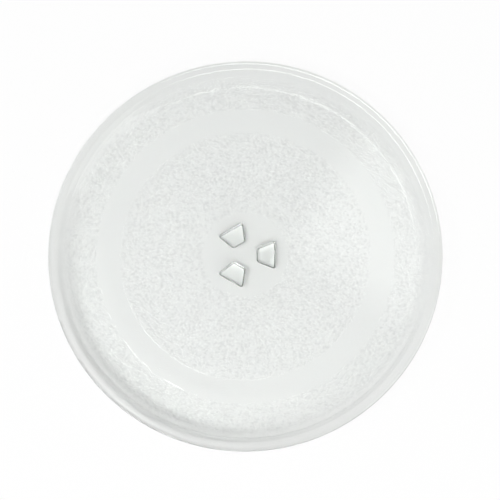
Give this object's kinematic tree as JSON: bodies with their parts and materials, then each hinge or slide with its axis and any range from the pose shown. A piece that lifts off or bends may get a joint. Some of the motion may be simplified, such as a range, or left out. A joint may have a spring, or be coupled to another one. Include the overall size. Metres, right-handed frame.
{
  "type": "microwave turntable tray",
  "caption": "Shallow round clear-glass turntable tray for a microwave oven, with a flanged rim, a stippled base, a smooth roller track and drive lugs.",
  "frame": {"origin": "on the turning axis, level with the end faces of the drive lugs, on which the tray stands out of the oven", "axes": "+Z is the turning axis and points up, out of the dish; +X runs from the axis through the middle of one drive lug; +Y completes the right-handed frame"},
  "size_m": [0.245, 0.245, 0.018],
  "materials": {
    "clear_glass": "clear pressed glass, fire polished, with a stippled underside except on the roller track and round the lugs"
  },
  "bodies": {
    "root": {"glass_tray": "clear_glass"}
  },
  "joints": []
}
